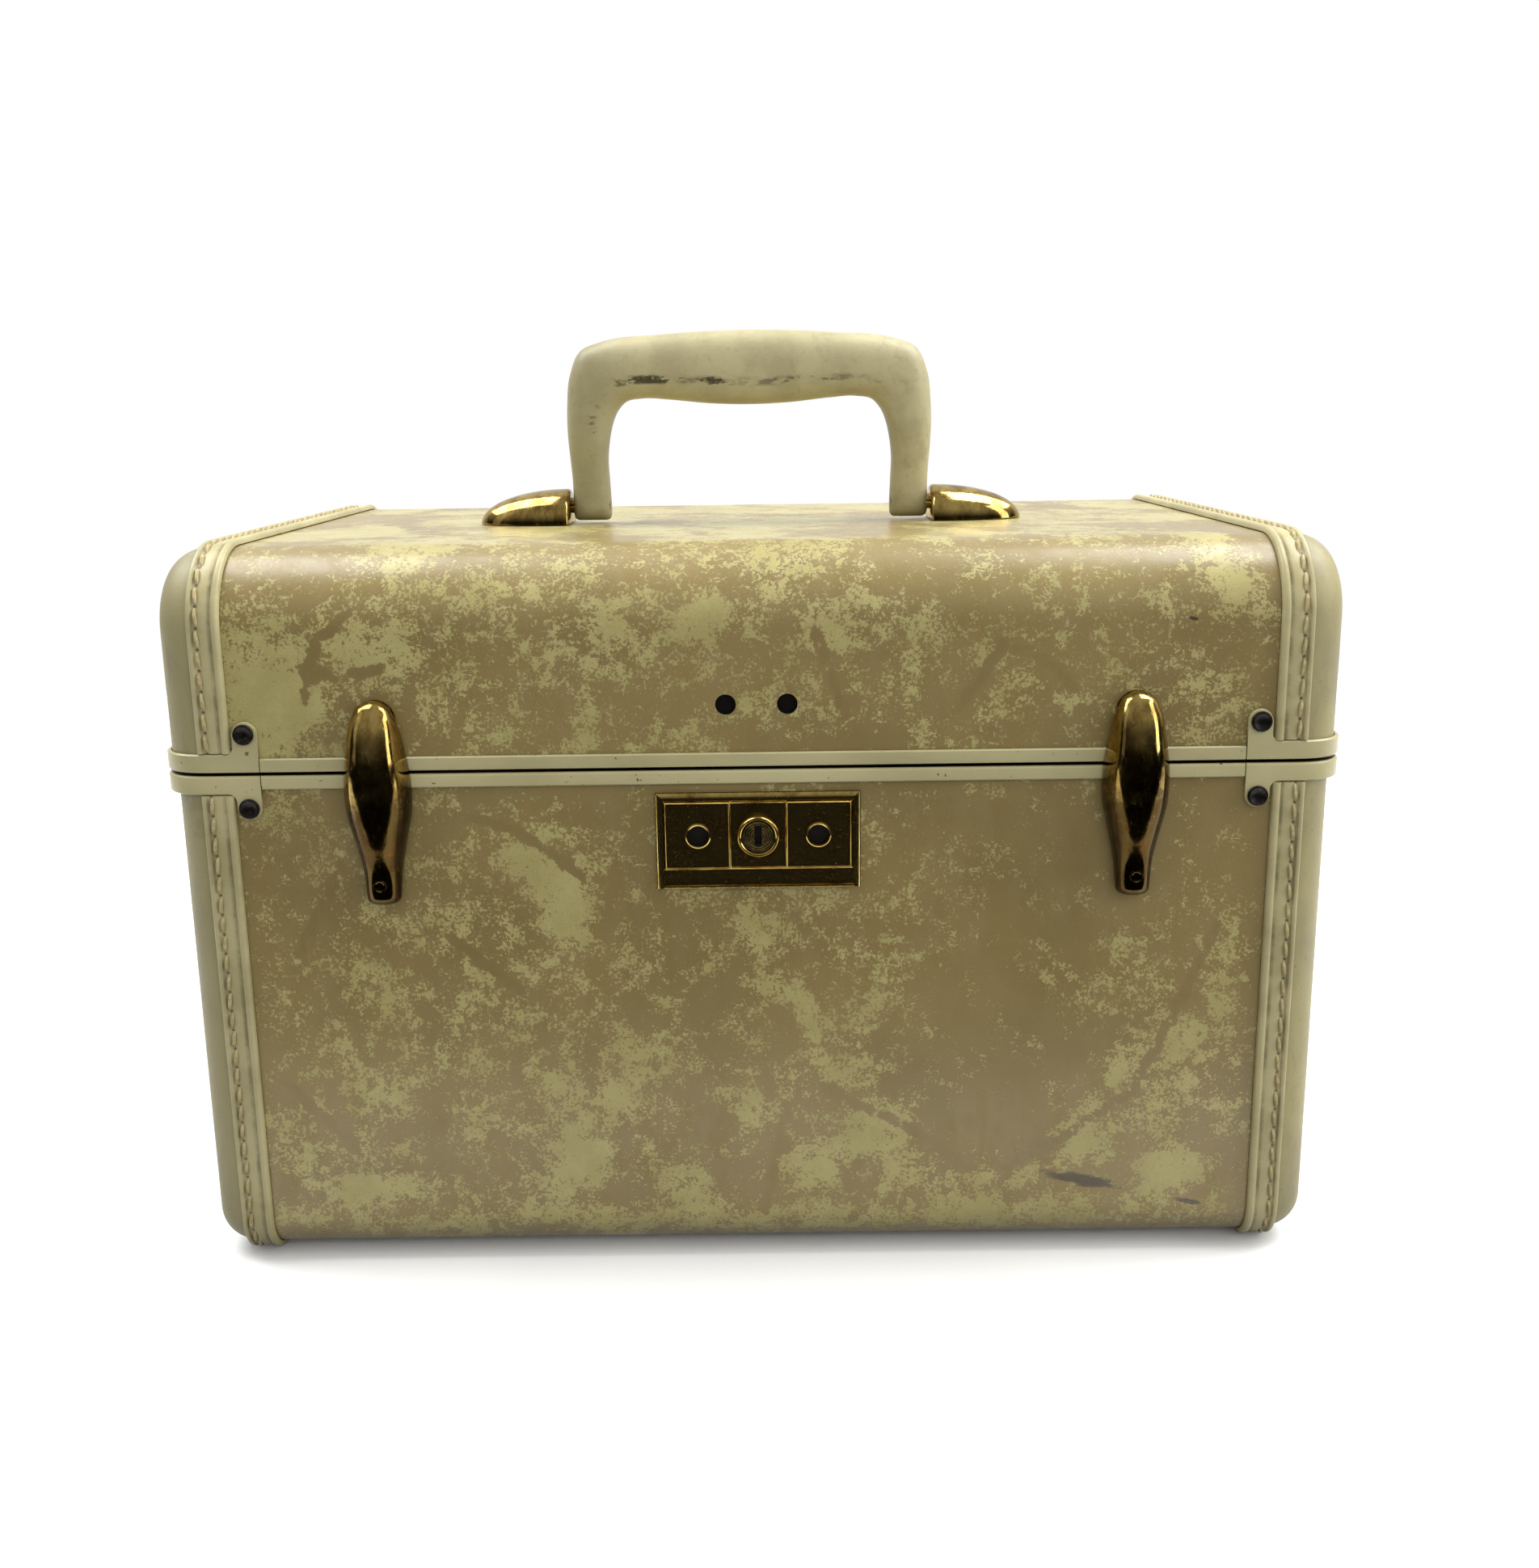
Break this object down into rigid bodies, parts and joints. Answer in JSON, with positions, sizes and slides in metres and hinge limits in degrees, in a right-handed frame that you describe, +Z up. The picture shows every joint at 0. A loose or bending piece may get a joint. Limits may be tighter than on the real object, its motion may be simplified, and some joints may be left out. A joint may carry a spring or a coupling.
{
  "type": "train case",
  "caption": "Hard-shell vanity case with a hinged lid, front latches, a turning key lock, a swinging top handle, a mirror and a lift-out tray.",
  "frame": {"origin": "on the ground, below the middle of the case", "axes": "+X to the case's left-hand end as its front is faced, which is the right of the picture; -Y out of the front with the latches and lock; +Z up"},
  "size_m": [0.3446, 0.2319, 0.2813],
  "materials": {
    "shell": "mottled tan vinyl-coated fibreboard, satin lacquer",
    "end_cap": "worn cream moulded fibre",
    "binding": "cream vinyl strip, stitched",
    "rim": "cream painted steel",
    "rivet": "dark oxidised",
    "brass": "polished, tarnished in the recesses",
    "steel": "plain",
    "handle": "cream moulded, hand-worn",
    "lining": "satin cloth over board",
    "mirror_frame": "cloth-covered board",
    "mirror": "silvered glass",
    "tray": "cream moulded"
  },
  "bodies": {
    "base": {"base_shell": "shell", "base_cap_left": "end_cap", "base_cap_right": "end_cap", "base_binding_left": "binding", "base_binding_right": "binding", "base_rim_front": "rim", "base_rim_back": "rim", "base_rim_left": "rim", "base_rim_right": "rim", "base_rivet_left": "rivet", "base_rivet_right": "rivet", "base_lining": "lining", "hinge_leaf_base_left": "brass", "hinge_leaf_base_right": "brass", "hinge_pin_left": "steel", "hinge_pin_right": "steel", "latch_bracket_left": "brass", "latch_bracket_right": "brass", "latch_pin_left": "steel", "latch_pin_right": "steel", "lock_plate": "brass", "lock_eyelet_left": "brass", "lock_eyelet_right": "brass", "lock_barrel": "brass", "lock_case": "steel", "tray_rest_left": "lining", "tray_rest_right": "lining", "stay_pin_base": "brass"},
    "lid": {"lid_shell": "shell", "lid_cap_left": "end_cap", "lid_cap_right": "end_cap", "lid_binding_left": "binding", "lid_binding_right": "binding", "lid_rim_front": "rim", "lid_rim_back": "rim", "lid_rim_left": "rim", "lid_rim_right": "rim", "lid_rivet_left": "rivet", "lid_rivet_right": "rivet", "lid_lining": "lining", "hinge_leaf_lid_left": "brass", "hinge_leaf_lid_right": "brass", "latch_catch_left": "brass", "latch_catch_right": "brass", "handle_cap_left": "brass", "handle_cap_right": "brass", "mirror_frame": "mirror_frame", "mirror_glass": "mirror", "stay_pin_lid": "brass"},
    "handle": {"handle": "handle"},
    "latch_left": {"latch_lever_left": "brass", "latch_hook_left": "steel"},
    "latch_right": {"latch_lever_right": "brass", "latch_hook_right": "steel"},
    "lock": {"lock_plug": "brass", "lock_cam": "steel"},
    "tray": {"tray": "tray"},
    "stay_lower": {"stay_link_lower": "brass"},
    "stay_upper": {"stay_link_upper": "brass"}
  },
  "joints": [
    {"name": "lid_hinge", "type": "hinge", "parent": "base", "child": "lid", "pos_m": [0, 0.1103, 0.1555], "axis": [-1, 0, 0], "range_deg": [0, 100]},
    {"name": "handle_pivot", "type": "hinge", "parent": "lid", "child": "handle", "pos_m": [0, -0.008, 0.225], "axis": [1, 0, 0], "range_deg": [-80, 80]},
    {"name": "latch_left_pivot", "type": "hinge", "parent": "base", "child": "latch_left", "pos_m": [-0.108, -0.1083, 0.1196], "axis": [1, 0, 0], "range_deg": [0, 100]},
    {"name": "latch_right_pivot", "type": "hinge", "parent": "base", "child": "latch_right", "pos_m": [0.11, -0.1083, 0.1196], "axis": [1, 0, 0], "range_deg": [0, 100]},
    {"name": "lock_turn", "type": "hinge", "parent": "base", "child": "lock", "pos_m": [0.0012, -0.105, 0.1356], "axis": [0, -1, 0], "range_deg": [0, 90]},
    {"name": "tray_lift", "type": "slide", "parent": "base", "child": "tray", "axis": [0, 0, 1], "range_m": [0, 0.04]},
    {"name": "stay_lower_pivot", "type": "hinge", "parent": "base", "child": "stay_lower", "pos_m": [0.162, 0.0683, 0.1435], "axis": [-1, 0, 0], "range_deg": [0, 100]},
    {"name": "stay_upper_pivot", "type": "hinge", "parent": "lid", "child": "stay_upper", "pos_m": [0.162, 0.0643, 0.1935], "axis": [-1, 0, 0], "range_deg": [-100, 0]}
  ],
  "couplings": [
    {"joint": "stay_lower_pivot", "follows": "lid_hinge", "ratio": 1},
    {"joint": "stay_upper_pivot", "follows": "lid_hinge", "ratio": -1}
  ]
}
